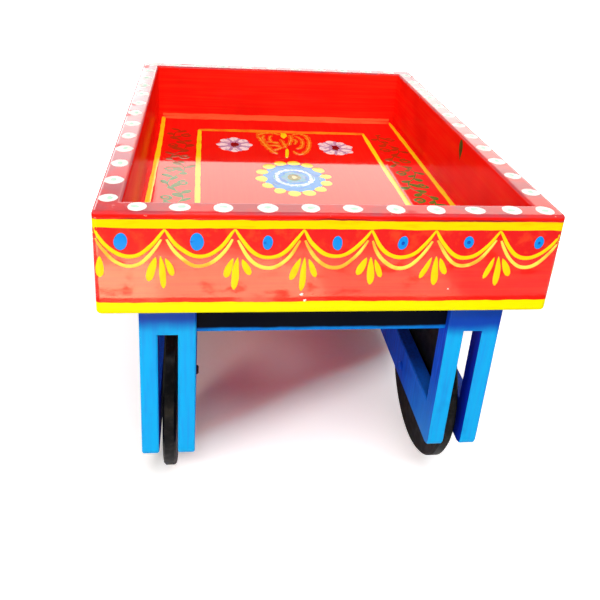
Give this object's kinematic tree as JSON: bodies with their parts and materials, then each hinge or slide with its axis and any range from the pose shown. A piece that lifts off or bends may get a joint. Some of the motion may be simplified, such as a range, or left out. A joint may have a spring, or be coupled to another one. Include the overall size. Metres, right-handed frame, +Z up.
{
  "type": "wooden tray cart",
  "caption": "Small painted wooden tray cart: an open tray on twin side frames, with disc wheels turning on pins in the slots between the frames.",
  "frame": {"origin": "on the ground under the middle of the tray", "axes": "+X across the tray to the right, +Y along the tray from its front end to its back end, +Z up"},
  "size_m": [0.2, 0.255, 0.172],
  "materials": {
    "red_gloss_paint": "painted wood, glossy red lacquer",
    "blue_gloss_paint": "painted wood, glossy blue lacquer",
    "black_gloss_paint": "painted wood, glossy near-black lacquer",
    "dark_pin": "wooden dowel, painted over"
  },
  "bodies": {
    "chassis": {"tray_floor": "red_gloss_paint", "tray_wall_front": "red_gloss_paint", "tray_wall_back": "red_gloss_paint", "tray_wall_left": "red_gloss_paint", "tray_wall_right": "red_gloss_paint", "rail_left_outer": "blue_gloss_paint", "rail_left_inner": "blue_gloss_paint", "rail_right_outer": "blue_gloss_paint", "rail_right_inner": "blue_gloss_paint", "post_front_left_outer": "blue_gloss_paint", "post_front_left_inner": "blue_gloss_paint", "post_front_right_outer": "blue_gloss_paint", "post_front_right_inner": "blue_gloss_paint", "post_back_left_outer": "blue_gloss_paint", "post_back_left_inner": "blue_gloss_paint", "post_back_right_outer": "blue_gloss_paint", "post_back_right_inner": "blue_gloss_paint", "top_block_front_left": "blue_gloss_paint", "top_block_front_right": "blue_gloss_paint", "top_block_back_left": "blue_gloss_paint", "top_block_back_right": "blue_gloss_paint", "crossbar_front": "blue_gloss_paint", "crossbar_back": "blue_gloss_paint", "axle_front_left": "dark_pin", "axle_front_right": "dark_pin", "axle_back_left": "dark_pin", "axle_back_right": "dark_pin"},
    "wheel_front_left_body": {"wheel_front_left": "black_gloss_paint"},
    "wheel_front_right_body": {"wheel_front_right": "black_gloss_paint"},
    "wheel_back_left_body": {"wheel_back_left": "black_gloss_paint"},
    "wheel_back_right_body": {"wheel_back_right": "black_gloss_paint"}
  },
  "joints": [
    {"name": "wheel_front_left_spin", "type": "hinge", "parent": "chassis", "child": "wheel_front_left_body", "pos_m": [-0.0705, -0.068, 0.048], "axis": [1, 0, 0], "continuous": true},
    {"name": "wheel_front_right_spin", "type": "hinge", "parent": "chassis", "child": "wheel_front_right_body", "pos_m": [0.0705, -0.068, 0.048], "axis": [1, 0, 0], "continuous": true},
    {"name": "wheel_back_left_spin", "type": "hinge", "parent": "chassis", "child": "wheel_back_left_body", "pos_m": [-0.0705, 0.068, 0.048], "axis": [1, 0, 0], "continuous": true},
    {"name": "wheel_back_right_spin", "type": "hinge", "parent": "chassis", "child": "wheel_back_right_body", "pos_m": [0.0705, 0.068, 0.048], "axis": [1, 0, 0], "continuous": true}
  ]
}
